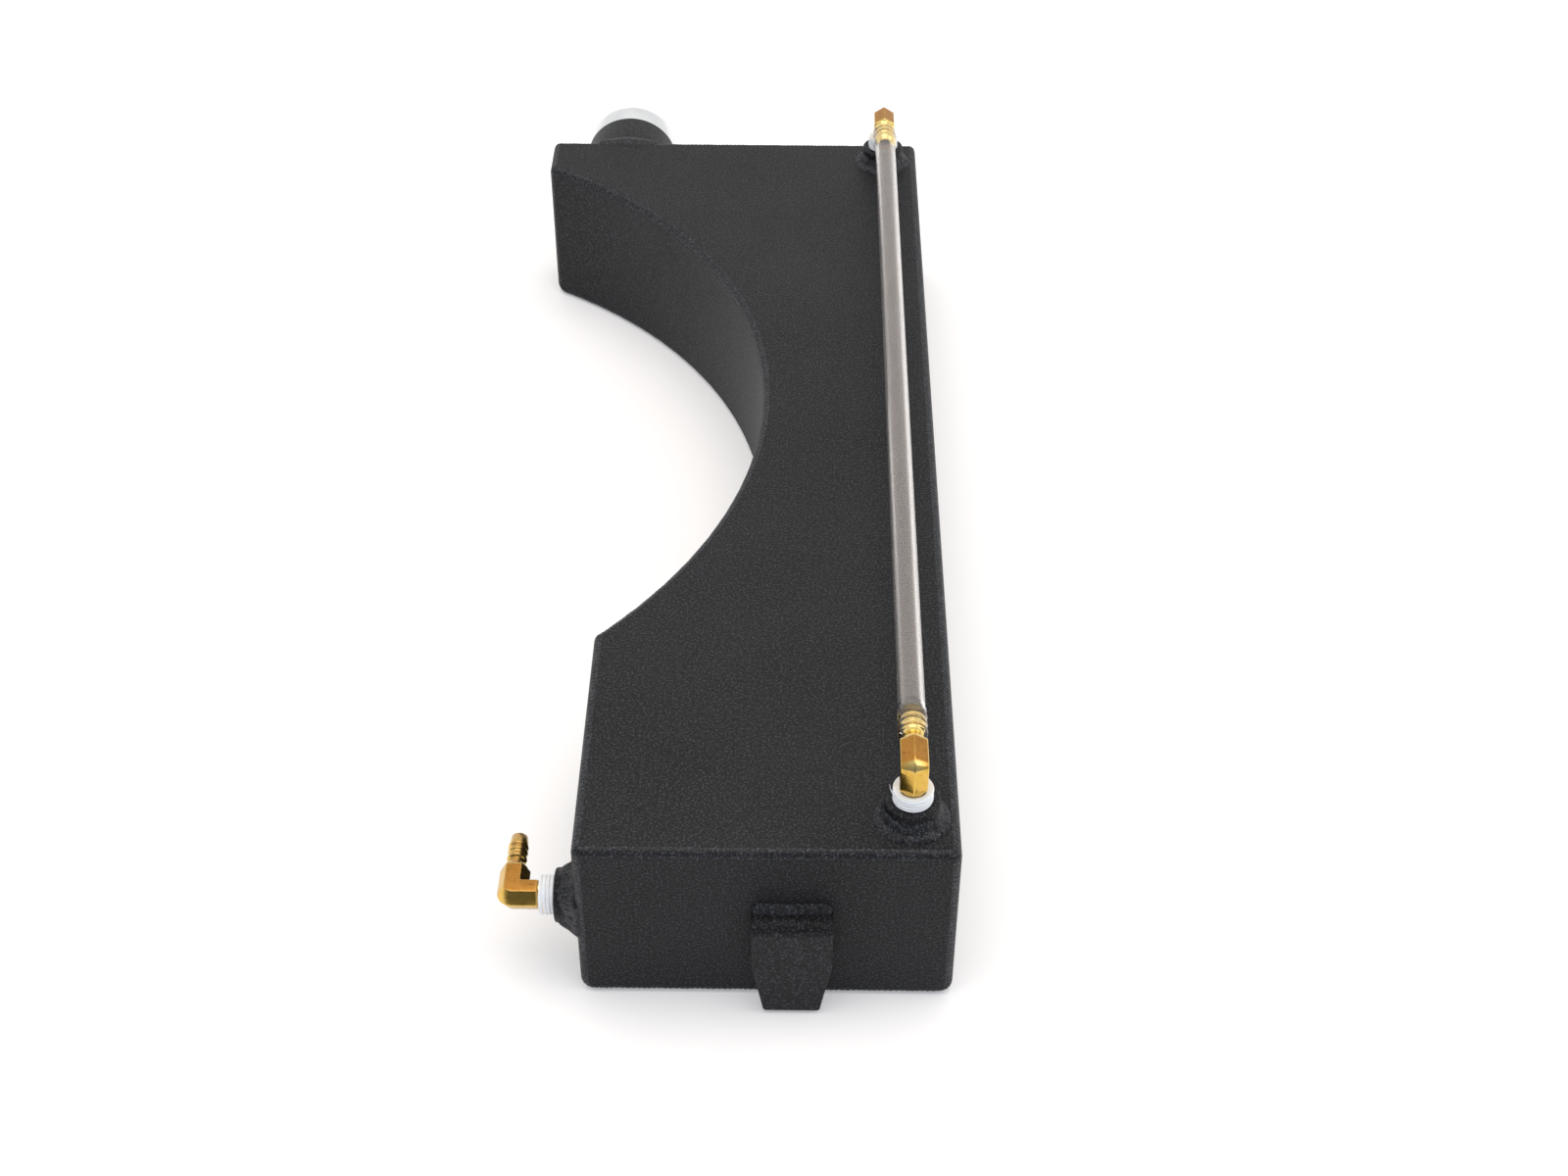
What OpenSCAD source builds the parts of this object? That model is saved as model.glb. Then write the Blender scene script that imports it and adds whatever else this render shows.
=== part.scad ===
// Welded sheet-aluminium coolant expansion tank with a sight gauge, a hose outlet and a screw cap.
// It lies on its back face. The origin is on the back face, in the middle of the waist, level with
// the centre of the cut-out. +X points to the straight long side, +Y to the filler and +Z to the front.

/* [Tank] */
// Length of the tank from the lower end to the upper end
tank_l = 478; // [430:1:540]
// Thickness of the tank from the back face to the front face
tank_t = 72; // [64:1:90]
// Width of the lower end
lower_w = 131.5; // [115:0.5:150]
// Width of the upper end
upper_w = 178.5; // [158:0.5:200]
// Width that the cut-out leaves at the waist
waist_w = 71.5; // [60:0.5:85]
// Length of the short left side between the lower end and the cut-out
lower_side = 109.2; // [90:0.1:125]
// Length of the short left side between the cut-out and the upper end
upper_side = 24.7; // [15:0.1:45]
// Thickness of the sheet, which is also the radius of every welded edge
sheet = 3; // [2:0.25:4]
// Inside radius of the folds between the back and the sides
fold_r = 2; // [1:0.5:4]

/* [Filler] */
// Outside diameter of the filler neck
neck_d = 44.4; // [42.5:0.1:48]
// Length of the filler neck outside the tank
neck_l = 23; // [18:0.5:32]
// Distance of the neck's axis from the upper left side
neck_in = 36.3; // [31:0.1:60]
// Height of the neck's top above the front face
neck_rise = 0.5; // [0:0.1:1]
// Size of the weld round the neck
neck_bead = 3.5; // [2.5:0.25:5]
// Height of that weld above the neck where it runs over the front edge
neck_bead_top = 0.7; // [0.3:0.1:1.5]
// Outside diameter of the cap's thread
cap_thread_d = 35; // [32:0.5:36]
// Length of thread below the cap's flange
cap_plug_l = 12; // [9:0.5:15]
// Diameter of the cap's flange
cap_d = 42.8; // [41.5:0.1:44.4]
// Thickness of the cap's flange
cap_t = 12.6; // [9:0.2:16]
// Section of the O-ring under the flange
seal_d = 2.4; // [1.8:0.1:2.6]

/* [Pipe fittings] */
// Diameter of the weld-on bungs
bung_d = 19.2; // [18:0.1:20]
// Height of the bungs above the sheet
bung_h = 8; // [6:0.5:12]
// Diameter of the spigot that centres a bung in its hole
bung_spigot_d = 16; // [15:0.25:17]
// Size of the weld round a bung
bung_bead = 3.8; // [2.5:0.1:4.2]
// Outside diameter of the taper thread on an elbow
thread_d = 13.2; // [12.8:0.1:13.6]
// Length of thread inside a bung
thread_grip = 7; // [5:0.5:9]
// Length of taped thread left outside a bung
tape_l = 5.6; // [4:0.2:8]
// Thickness of the wound thread tape
tape_t = 0.4; // [0.2:0.05:0.6]
// Number of thread crests that show through the tape
tape_ridges = 4; // [3:1:6]
// Size across the flats of an elbow's forged body
elbow_af = 9.5; // [8.8:0.1:11]
// Distance from an elbow's centre to its thread
elbow_reach = 9.5; // [8:0.25:12]
// Distance from an elbow's centre to the end of its hexagon
elbow_arm = 11; // [9:0.25:14]
// Length of the cone between the hexagon and the hose end
elbow_cone = 3.2; // [2:0.2:5]
// Radius of the bore through an elbow's hose end
hose_bore_r = 2.2; // [1.6:0.1:2.3]
// Radius of the bore through an elbow's threaded end
thread_bore_r = 3.6; // [3:0.1:4]
// Largest diameter of the hose barbs
barb_d = 7.2; // [6.8:0.1:8]
// Diameter between the barbs
barb_root_d = 5.8; // [5.4:0.1:6.2]
// Number of barbs
barb_count = 3; // [2:1:4]
// Spacing of the barbs
barb_pitch = 3.7; // [3:0.1:5]
// Plain length between the cone and the first barb
barb_neck = 1.5; // [1:0.1:3]

/* [Outlet] */
// Distance of the outlet's axis from the lower end
outlet_y = 13.3; // [13:0.1:60]
// Height of the outlet's axis above the back face
outlet_z = 36; // [24:0.5:40]

/* [Sight gauge] */
// Distance of the gauge from the straight side
gauge_in = 16.5; // [16:0.5:40]
// Distance of the lower gauge fitting from the lower end
gauge_low = 18.8; // [17:0.2:40]
// Distance of the upper gauge fitting from the upper end
gauge_up = 16.8; // [16.4:0.2:40]
// Outside diameter of the sight tube
tube_d = 9.5; // [9:0.1:11]
// Bore of the sight tube
tube_bore_d = 6.4; // [6.1:0.1:6.7]

/* [Mounting tab] */
// Distance of the tab's centre line from the straight side
tab_in = 56.9; // [40:0.1:80]
// Width of the tab
tab_w = 28; // [22:0.5:40]
// Width of the tab's tip
tab_tip_w = 19.2; // [14:0.2:22]
// Height of the tab's top face above the back face
tab_z = 44.7; // [36:0.1:56]
// Distance the tab stands out from the end plate
tab_reach = 9; // [8:0.25:16]
// Height of the tip above the back face
tab_tip_z = 1.5; // [0.5:0.25:6]
// Height at which the tab starts to taper
tab_taper_z = 25; // [12:0.5:30]
// Thickness of the tab
tab_t = 3; // [2:0.25:4]
// Inside radius of the tab's bend
tab_bend = 1.5; // [1:0.25:3]
// Size of the welds along the tab's root
tab_bead = 3; // [2:0.25:4]

/* [Hidden] */
// Clearance of a spigot in its hole and of a thread in its partner
spigot_gap = 0.1;
thread_gap = 0.05;
// Clearance of the cap's thread in the neck
cap_gap = 0.08;
// Gap between the cap's flange and the neck, which the O-ring fills
flange_gap = 0.3;
seal_proud = 0.2;
seal_gap = 0.05;
// Clearance of the sight tube on the barbs and at the elbows' cones
tube_gap = 0.05;
tube_end_gap = 0.2;
// Clearance of the tape between the elbow and the bung
tape_gap = 0.1;
// Chamfers of the turned parts
edge = 0.8;
cap_edge = 1.2;
// Length of the flare between the tube's bore and its swollen ends
flare_l = 3;
// Land on the crest of each barb
barb_land = 0.5;
// Depth of the tape's grooves as a share of its thickness
groove_share = 0.5;

// The cut-out is the circle that runs through the ends of both short left sides and leaves the
// waist. Its centre is level with the origin, and its sizes are rounded to a thousandth.
function thousandth(v) = round(v * 1000) / 1000;
low_depth = lower_w - waist_w;
up_depth = upper_w - waist_w;
depth_step = up_depth - low_depth;
span = tank_l - lower_side - upper_side;
span_square = span * span + up_depth * depth_step;
span_root = sqrt(low_depth * low_depth * span * span + depth_step * low_depth * span_square);
low_span = thousandth(low_depth * span_square / (low_depth * span + span_root));
inner_r = thousandth((low_span * low_span / low_depth + low_depth) / 2);
cut_r = inner_r - sheet;

side_x = waist_w / 2;
low_x = side_x - lower_w;
up_x = side_x - upper_w;
cut_x = -side_x - cut_r;
join_low_y = -low_span;
join_up_y = span - low_span;
low_y = join_low_y - lower_side;
up_y = join_up_y + upper_side;
wall_top = tank_t - sheet;

// Angles at which the cut-out's wall meets the two left sides
a_low = -acos((low_x + sheet - cut_x) / inner_r);
a_up = acos((up_x + sheet - cut_x) / inner_r);

// At those corners the welds overlap and stand this much proud. A run stops short of the corner
// or passes it inside the overlap, and the upright welds leave a small gap at their root.
lap_proud = 0.05;
lap_l = 0.4;
weld_root = 0.2;

neck_r = neck_d / 2;
neck_x = up_x + neck_in;
neck_z = tank_t + neck_rise - neck_r;
neck_bore_r = cap_thread_d / 2 + cap_gap;
seat_r = neck_bore_r + seal_d + 2 * seal_gap;
seat_depth = seal_d - seal_proud;

bung_r = bung_d / 2;
bung_bore_r = thread_d / 2 + thread_gap;
elbow_r = elbow_af / sqrt(3);
elbow_stand = bung_h + tape_l + elbow_reach;
hose_start = elbow_arm + elbow_cone;
hose_l = barb_neck + barb_count * barb_pitch;
barb_r = barb_d / 2;
barb_root_r = barb_root_d / 2;

gauge_x = side_x - gauge_in;
gauge_low_y = low_y + gauge_low;
gauge_up_y = up_y - gauge_up;
gauge_z = tank_t + elbow_stand;
outlet_x = low_x - elbow_stand;
tab_x = side_x - tab_in;

coat = "#2b2b2d";
bead_coat = "#36373a";
brass = "#b08a3e";
tape_white = "#f4f4f2";
bare = "#d4d6d8";

$fn = 96;

// Section of a weld: a quarter disc in the first quadrant
module quarter(r) {
    intersection() {
        circle(r = r);
        square(r);
    }
}

// Straight weld along +X that fills the quadrant towards -Y and +Z
module bead_run(l, r) {
    rotate([90, 0, 90])
        linear_extrude(l)
            mirror([1, 0])
                quarter(r);
}

// Weld round a square corner, from the direction a
module bead_corner(a, r) {
    rotate([0, 0, a])
        rotate_extrude(angle = 90)
            quarter(r);
}

// Weld along the cut-out's wall, passing each of its corners by the length past
module bead_arc(past) {
    past_a = past / inner_r * 180 / PI;
    translate([cut_x, 0, 0])
        rotate([0, 0, a_low - past_a])
            rotate_extrude(angle = a_up - a_low + 2 * past_a, $fn = 360)
                translate([inner_r, 0])
                    mirror([1, 0])
                        quarter(sheet);
}

// Places something at the lower and at the upper corner of the cut-out
module at_cut_corners() {
    translate([low_x + sheet, join_low_y, 0])
        children();
    translate([up_x + sheet, join_up_y, 0])
        mirror([0, 1, 0])
            children();
}

// Overlap of two welds at a corner of the cut-out, in the box from a to b. The sphere is turned
// so that its poles lie in the sheets.
module lap_dome(a, b) {
    intersection() {
        rotate([0, 45, 0])
            sphere(r = sheet + lap_proud);
        translate(a)
            cube(b - a);
    }
}

// Weld round a turned part of radius r on a sheet at z = 0. The tank's edge lies at y = -d,
// and where the weld reaches it, it fills down to the rounded weld along that edge.
module fillet_weld(r, leg, d, top) {
    toe = r + leg;
    intersection() {
        rotate_extrude()
            translate([r, 0])
                quarter(leg);
        translate([-toe, -d - top, 0])
            cube([2 * toe, toe + d + top, leg]);
    }
    if (d < toe)
        difference() {
            intersection() {
                translate([0, 0, -sheet])
                    cylinder(r = toe, h = sheet);
                translate([-toe, -d, -sheet])
                    cube([2 * toe, sheet, sheet]);
            }
            translate([-toe - sheet, sheet - d, -sheet])
                rotate([0, 90, 0])
                    cylinder(r = sheet, h = 2 * (toe + sheet));
        }
}

// Folded section between x0 and x1, inset by d, with rounded lower corners of radius r
module tub(x0, x1, d, r, top) {
    translate([x0 + d + r, d])
        square([x1 - x0 - 2 * (d + r), top - d]);
    translate([x0 + d, d + r])
        square([x1 - x0 - 2 * d, top - d - r]);
    for (x = [x0 + d + r, x1 - d - r])
        translate([x, d + r])
            circle(r = r);
}

// Length of folded sheet from y0 to y1, with its left side at x0
module folded_length(x0, y0, y1) {
    translate([0, y1, 0])
        rotate([90, 0, 0])
            linear_extrude(y1 - y0)
                difference() {
                    tub(x0, side_x, 0, fold_r + sheet, wall_top);
                    tub(x0, side_x, sheet, fold_r, tank_t);
                }
}

// Hole through a sheet for the spigot of a bung
module spigot_hole() {
    cylinder(d = bung_spigot_d + 2 * spigot_gap, h = 3 * sheet);
}

// Back, straight side and both short left sides, folded from one sheet
module back_pan() {
    color(coat) {
        difference() {
            folded_length(low_x, low_y + sheet, join_low_y);
            on_outlet()
                translate([0, 0, -2 * sheet])
                    spigot_hole();
        }
        difference() {
            folded_length(up_x, join_low_y, join_up_y);
            translate([cut_x, 0, -sheet])
                cylinder(r = inner_r, h = tank_t + 2 * sheet, $fn = 360);
        }
        folded_length(up_x, join_up_y, up_y - sheet);
    }
}

// Flat outline of the front plate, inside the welds
module plate_outline() {
    difference() {
        union() {
            translate([low_x + sheet, low_y + sheet])
                square([lower_w - 2 * sheet, -low_y - sheet]);
            translate([up_x + sheet, 0])
                square([upper_w - 2 * sheet, up_y - sheet]);
        }
        translate([cut_x, 0])
            circle(r = inner_r, $fn = 360);
    }
}

module front_plate() {
    color(coat)
        translate([0, 0, wall_top])
            difference() {
                linear_extrude(sheet)
                    plate_outline();
                for (y = [gauge_low_y, gauge_up_y])
                    translate([gauge_x, y, -sheet])
                        spigot_hole();
            }
}

// End plate between the folded sides, with its inner face at y
module end_plate(x0, y) {
    translate([0, y, 0])
        rotate([90, 0, 0])
            linear_extrude(sheet)
                tub(x0, side_x, sheet, fold_r, wall_top);
}

module lower_end_plate() {
    color(coat)
        end_plate(low_x, low_y + sheet);
}

module upper_end_plate() {
    color(coat)
        difference() {
            end_plate(up_x, up_y);
            translate([neck_x, up_y - 2 * sheet, neck_z])
                rotate([-90, 0, 0])
                    cylinder(r = neck_bore_r, h = 3 * sheet);
        }
}

// Sheet rolled to the radius of the cut-out
module curved_wall() {
    color(coat)
        translate([cut_x, 0, 0])
            rotate([0, 0, a_low])
                rotate_extrude(angle = a_up - a_low, $fn = 360)
                    translate([cut_r, sheet])
                        square([sheet, tank_t - 2 * sheet]);
}

// Weld all round the front plate
module front_seam_weld() {
    lower_run = lower_w - 2 * sheet;
    upper_run = upper_w - 2 * sheet;
    left_low_run = join_low_y - lap_l - low_y - sheet;
    left_up_run = up_y - sheet - join_up_y - lap_l;
    box = 2 * sheet;
    color(bead_coat)
        translate([0, 0, wall_top]) {
            translate([low_x + sheet, low_y + sheet, 0]) {
                bead_run(lower_run, sheet);
                bead_corner(180, sheet);
                mirror([1, 0, 0])
                    rotate([0, 0, 90])
                        bead_run(left_low_run, sheet);
            }
            translate([side_x - sheet, low_y + sheet, 0]) {
                bead_corner(270, sheet);
                rotate([0, 0, 90])
                    bead_run(tank_l - 2 * sheet, sheet);
            }
            translate([side_x - sheet, up_y - sheet, 0]) {
                bead_corner(0, sheet);
                rotate([0, 0, 180])
                    bead_run(upper_run, sheet);
            }
            translate([up_x + sheet, up_y - sheet, 0]) {
                bead_corner(90, sheet);
                rotate([0, 0, 270])
                    bead_run(left_up_run, sheet);
            }
            bead_arc(lap_l);
            at_cut_corners()
                lap_dome([-box, -box, 0], [0, box, box]);
        }
}

// Weld round an end plate below the front seam, on the -Y side of the plane y = 0
module end_weld(x0) {
    fold_z = sheet + fold_r;
    fold_left = x0 + fold_z;
    fold_right = side_x - fold_z;
    translate([x0 + sheet, 0, fold_z])
        linear_extrude(wall_top - fold_z)
            rotate(180)
                quarter(sheet);
    translate([side_x - sheet, 0, fold_z])
        linear_extrude(wall_top - fold_z)
            rotate(270)
                quarter(sheet);
    translate([fold_left, 0, sheet])
        mirror([0, 0, 1])
            bead_run(fold_right - fold_left, sheet);
    for (corner = [[fold_left, 180], [fold_right, 270]])
        translate([corner[0], 0, fold_z])
            rotate([90, 0, 0])
                rotate([0, 0, corner[1]])
                    rotate_extrude(angle = 90)
                        translate([fold_r, 0])
                            quarter(sheet);
}

module lower_end_weld() {
    color(bead_coat)
        translate([0, low_y + sheet, 0])
            end_weld(low_x);
}

module upper_end_weld() {
    color(bead_coat)
        translate([0, up_y - sheet, 0])
            mirror([0, 1, 0])
                end_weld(up_x);
}

// Upright weld that turns by sweep round a corner of the cut-out
module corner_weld(sweep) {
    translate([0, 0, sheet])
        rotate([0, 0, 180])
            rotate_extrude(angle = sweep)
                translate([weld_root, 0])
                    square([sheet - weld_root, tank_t - 2 * sheet]);
}

// Weld along the back edge of the cut-out and up both of its corners
module cutout_weld() {
    box = 2 * sheet;
    color(bead_coat) {
        translate([0, 0, sheet])
            mirror([0, 0, 1]) {
                intersection() {
                    at_cut_corners()
                        lap_dome([-box, 0, 0], [box, box, box]);
                    translate([cut_x, 0, 0])
                        cylinder(r = inner_r, h = tank_t, $fn = 360);
                }
                bead_arc(-lap_l);
            }
        translate([low_x + sheet, join_low_y, 0])
            mirror([0, 1, 0])
                corner_weld(-a_low);
        translate([up_x + sheet, join_up_y, 0])
            corner_weld(a_up);
    }
}

// Section of a bent strip's outside or inside, with the face at y = 0 and the bend at the far top
module bent(reach, top, r) {
    translate([-reach, tab_tip_z])
        square([reach, top - tab_tip_z - r]);
    translate([-reach + r, tab_tip_z])
        square([reach - r, top - tab_tip_z]);
    translate([-reach + r, top - r])
        circle(r = r);
}

// Strip bent towards the back face, with a tapered tip
module mounting_tab() {
    color(coat)
        translate([tab_x, low_y, 0])
            intersection() {
                translate([-tab_w / 2, 0, 0])
                    rotate([90, 0, 90])
                        linear_extrude(tab_w)
                            difference() {
                                bent(tab_reach, tab_z, tab_bend + tab_t);
                                bent(tab_reach - tab_t, tab_z - tab_t, tab_bend);
                            }
                rotate([90, 0, 0])
                    linear_extrude(2 * tab_reach)
                        polygon([
                            [-tab_tip_w / 2, 0], [tab_tip_w / 2, 0],
                            [tab_w / 2, tab_taper_z], [tab_w / 2, tank_t],
                            [-tab_w / 2, tank_t], [-tab_w / 2, tab_taper_z]
                        ]);
            }
}

// Welds above and below the tab's root
module tab_weld() {
    color(bead_coat)
        translate([tab_x - tab_w / 2, low_y, 0]) {
            translate([0, 0, tab_z])
                bead_run(tab_w, tab_bead);
            translate([0, 0, tab_z - tab_t])
                mirror([0, 0, 1])
                    bead_run(tab_w, tab_bead);
        }
}

// Places a turned part, drawn along +Z, on the filler's axis with z = 0 on the end plate
module on_filler_axis() {
    translate([neck_x, up_y, neck_z])
        rotate([-90, 0, 0])
            children();
}

module filler_neck() {
    color(coat)
        on_filler_axis()
            rotate_extrude()
                polygon([
                    [neck_bore_r, 0], [neck_r, 0], [neck_r, neck_l - edge],
                    [neck_r - edge, neck_l], [seat_r, neck_l],
                    [seat_r, neck_l - seat_depth], [neck_bore_r, neck_l - seat_depth]
                ]);
}

module neck_weld() {
    color(bead_coat)
        on_filler_axis()
            fillet_weld(neck_r, neck_bead, tank_t - neck_z, neck_rise + neck_bead_top);
}

// Screw plug and flange in one turned piece
module filler_cap() {
    plug_r = cap_thread_d / 2;
    flange_r = cap_d / 2;
    flange_z = neck_l + flange_gap;
    plug_z = flange_z - cap_plug_l;
    top_z = flange_z + cap_t;
    color(bare)
        on_filler_axis()
            rotate_extrude()
                polygon([
                    [0, plug_z], [plug_r - edge, plug_z], [plug_r, plug_z + edge],
                    [plug_r, flange_z], [flange_r - edge, flange_z], [flange_r, flange_z + edge],
                    [flange_r, top_z - cap_edge], [flange_r - cap_edge, top_z], [0, top_z]
                ]);
}

// O-ring between the cap's flange and the seat turned in the neck
module cap_seal() {
    color("#1c1c1c")
        on_filler_axis()
            rotate_extrude()
                translate([neck_bore_r + seal_gap + seal_d / 2, neck_l - seat_depth + seal_gap + seal_d / 2])
                    circle(d = seal_d, $fn = 48);
}

// Weld-on bung along +Z with its spigot through the sheet
module bung() {
    spigot_r = bung_spigot_d / 2;
    color(coat)
        rotate_extrude()
            polygon([
                [bung_bore_r, -sheet], [spigot_r, -sheet], [spigot_r, 0], [bung_r, 0],
                [bung_r, bung_h - edge], [bung_r - edge, bung_h], [bung_bore_r, bung_h]
            ]);
}

// Weld round a bung whose axis is at a distance d from the tank's edge
module bung_weld(d) {
    color(bead_coat)
        fillet_weld(bung_r, bung_bead, d, 0);
}

// Section of the hose end from the cone outwards, one step and one taper for each barb
function barb_points() = [
    for (i = [0 : barb_count - 1])
        let (z = hose_start + barb_neck + i * barb_pitch)
            each [[barb_root_r, z], [barb_r, z], [barb_r, z + barb_land]]
];

// Forged elbow with its centre at the origin, its thread along -Z and its hose end along +X
module elbow() {
    apothem = elbow_af / 2;
    thread_end = elbow_reach + tape_l + thread_grip;
    hose_end = hose_start + hose_l;
    color(brass)
        difference() {
            union() {
                translate([0, 0, -elbow_reach])
                    cylinder(r = elbow_r, h = elbow_reach, $fn = 6);
                rotate([0, 90, 0])
                    cylinder(r = elbow_r, h = elbow_arm, $fn = 6);
                rotate([90, 0, 0])
                    rotate_extrude()
                        polygon([
                            [0, -apothem], [elbow_r / 2, -apothem], [elbow_r, 0],
                            [elbow_r / 2, apothem], [0, apothem]
                        ]);
                translate([0, 0, -thread_end])
                    cylinder(d = thread_d, h = tape_l + thread_grip);
                rotate([0, 90, 0])
                    rotate_extrude()
                        polygon(concat(
                            [[0, elbow_arm], [apothem, elbow_arm], [barb_root_r, hose_start]],
                            barb_points(),
                            [[barb_root_r, hose_end], [0, hose_end]]
                        ));
            }
            translate([0, 0, -thread_end - edge])
                cylinder(r = thread_bore_r, h = thread_end + edge);
            rotate([0, 90, 0])
                cylinder(r = hose_bore_r, h = hose_end + edge);
        }
}

// Tape wound over the thread between a bung and an elbow, from z = 0 along +Z
module tape() {
    in_r = thread_d / 2 + thread_gap;
    out_r = in_r + tape_t;
    groove_r = out_r - groove_share * tape_t;
    pitch = (tape_l - 2 * tape_gap) / tape_ridges;
    color(tape_white)
        rotate_extrude()
            polygon(concat(
                [[in_r, tape_gap], [groove_r, tape_gap]],
                [
                    for (i = [0 : tape_ridges - 1])
                        let (z = tape_gap + i * pitch)
                            each [[out_r, z + pitch / 4], [out_r, z + pitch * 3 / 4], [groove_r, z + pitch]]
                ],
                [[in_r, tape_l - tape_gap]]
            ));
}

// Clear hose pushed over the barbs of both gauge elbows, swollen where it covers them
module sight_tube() {
    start = hose_start + tube_end_gap;
    l = gauge_up_y - gauge_low_y - 2 * start;
    bore_r = tube_bore_d / 2;
    wall = (tube_d - tube_bore_d) / 2;
    swollen_r = barb_r + tube_gap;
    swollen_l = hose_l - tube_end_gap + tube_gap;
    color("#e8eef0", 0.35)
        translate([gauge_x, gauge_low_y + start, gauge_z])
            rotate([-90, 0, 0])
                rotate_extrude()
                    polygon([
                        [swollen_r, 0], [swollen_r + wall, 0], [swollen_r + wall, swollen_l],
                        [tube_d / 2, swollen_l + flare_l], [tube_d / 2, l - swollen_l - flare_l],
                        [swollen_r + wall, l - swollen_l], [swollen_r + wall, l], [swollen_r, l],
                        [swollen_r, l - swollen_l], [bore_r, l - swollen_l - flare_l],
                        [bore_r, swollen_l + flare_l], [swollen_r, swollen_l]
                    ]);
}

// Places a fitting, drawn along +Z, on the left side with z = 0 on the sheet
module on_outlet() {
    translate([low_x, low_y + outlet_y, outlet_z])
        rotate([0, -90, 0])
            children();
}

// Places a fitting on the front plate at the lower or upper end of the gauge
module on_gauge(y) {
    translate([gauge_x, y, tank_t])
        children();
}

back_pan();
front_plate();
lower_end_plate();
upper_end_plate();
curved_wall();
front_seam_weld();
lower_end_weld();
upper_end_weld();
cutout_weld();
mounting_tab();
tab_weld();
filler_neck();
neck_weld();
filler_cap();
cap_seal();
on_outlet() bung();  // outlet_bung
on_outlet() bung_weld(outlet_y);  // outlet_weld
on_outlet() translate([0, 0, elbow_stand]) rotate([0, 0, 90]) elbow();  // outlet_elbow
on_outlet() translate([0, 0, bung_h]) tape();  // outlet_tape
on_gauge(gauge_low_y) bung();  // gauge_bung_lower
on_gauge(gauge_low_y) bung_weld(gauge_low);  // gauge_weld_lower
on_gauge(gauge_low_y) translate([0, 0, elbow_stand]) rotate([0, 0, 90]) elbow();  // gauge_elbow_lower
on_gauge(gauge_low_y) translate([0, 0, bung_h]) tape();  // gauge_tape_lower
on_gauge(gauge_up_y) bung();  // gauge_bung_upper
on_gauge(gauge_up_y) bung_weld(gauge_up);  // gauge_weld_upper
on_gauge(gauge_up_y) translate([0, 0, elbow_stand]) rotate([0, 0, -90]) elbow();  // gauge_elbow_upper
on_gauge(gauge_up_y) translate([0, 0, bung_h]) tape();  // gauge_tape_upper
sight_tube();
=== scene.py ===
# %% [markdown]
# # A coolant expansion tank, dressed in Blender
# The solids of this tank come ready made, in metres, with every piece in its place. Here we give
# them their finish: black powder coat, rippled weld beads, forged brass, wound thread tape and a
# clear hose. The first cell loads the solids.

# %% Load the solids
import math
import bmesh
import bpy
import numpy as np
from mathutils import Matrix


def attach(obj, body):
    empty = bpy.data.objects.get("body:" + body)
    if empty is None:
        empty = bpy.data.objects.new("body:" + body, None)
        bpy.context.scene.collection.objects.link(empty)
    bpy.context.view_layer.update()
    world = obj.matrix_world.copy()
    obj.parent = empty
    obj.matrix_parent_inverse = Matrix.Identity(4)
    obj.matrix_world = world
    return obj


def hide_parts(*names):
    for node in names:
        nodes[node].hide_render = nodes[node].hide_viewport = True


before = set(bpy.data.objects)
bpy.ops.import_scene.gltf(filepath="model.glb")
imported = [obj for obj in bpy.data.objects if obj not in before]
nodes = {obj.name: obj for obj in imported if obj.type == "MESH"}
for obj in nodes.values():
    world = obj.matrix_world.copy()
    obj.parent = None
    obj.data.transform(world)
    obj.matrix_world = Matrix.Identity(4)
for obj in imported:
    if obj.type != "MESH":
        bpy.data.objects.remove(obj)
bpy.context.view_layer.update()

# %% [markdown]
# ## Sizes
# Blender works in metres and a welder in millimetres, so all sizes below are in millimetres and
# one function turns them to metres at the end. They are the sizes that the solids were made with:
# the tank lies on its back, its straight side towards +X and its filler towards +Y.

# %% Sizes in millimetres
SHEET = 3.0
SIDE_X, LOW_X, UP_X = 35.75, -95.75, -142.75
LOW_Y, UP_Y = -261.987, 216.013
JOIN_LOW_Y, JOIN_UP_Y = -152.787, 191.313
TANK_T = 72.0
WALL_TOP = TANK_T - SHEET
INNER_R, CUT_X = 224.532, -257.282
FOLD_R = 2.0
LOW_DEG = -math.degrees(math.acos((LOW_X + SHEET - CUT_X) / INNER_R))
UP_DEG = math.degrees(math.acos((UP_X + SHEET - CUT_X) / INNER_R))
GAUGE_X, GAUGE_LOW_Y, GAUGE_UP_Y = 19.25, -243.187, 199.213
BUNG_H, BUNG_R, BUNG_BORE_R, SPIGOT_R = 8.0, 9.6, 6.65, 8.0
TAPE_L, ELBOW_REACH, THREAD_R = 5.6, 9.5, 6.6
ELBOW_STAND = BUNG_H + TAPE_L + ELBOW_REACH
OUTLET_Y, OUTLET_Z = LOW_Y + 13.3, 36.0
TAB_BEAD = 3.0
print("the cut-out's wall turns through", round(UP_DEG - LOW_DEG, 1), "degrees")

# %% [markdown]
# ## The camera
# A photograph taken from above and in front makes upright edges lean together and far things
# small. The lens, the place and the three angles below were worked out from the tank's corners
# and fittings in the picture, so the render lines up with it. The three rows are the camera's
# right, down and forward directions.

# %% Camera
def camera_rows(pitch, yaw, roll):
    """Right, down and forward of a camera that looks along +Y, tilted down, turned and rolled."""
    sp, cp = math.sin(math.radians(pitch)), math.cos(math.radians(pitch))
    sy, cy = math.sin(math.radians(yaw)), math.cos(math.radians(yaw))
    sr, cr = math.sin(math.radians(roll)), math.cos(math.radians(roll))
    level = np.array([[1, 0, 0], [0, -sp, -cp], [0, cp, -sp]])
    turned = np.array([[cy, -sy, 0], [sy, cy, 0], [0, 0, 1]])
    rolled = np.array([[cr, -sr, 0], [sr, cr, 0], [0, 0, 1]])
    return rolled @ level @ turned


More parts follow.
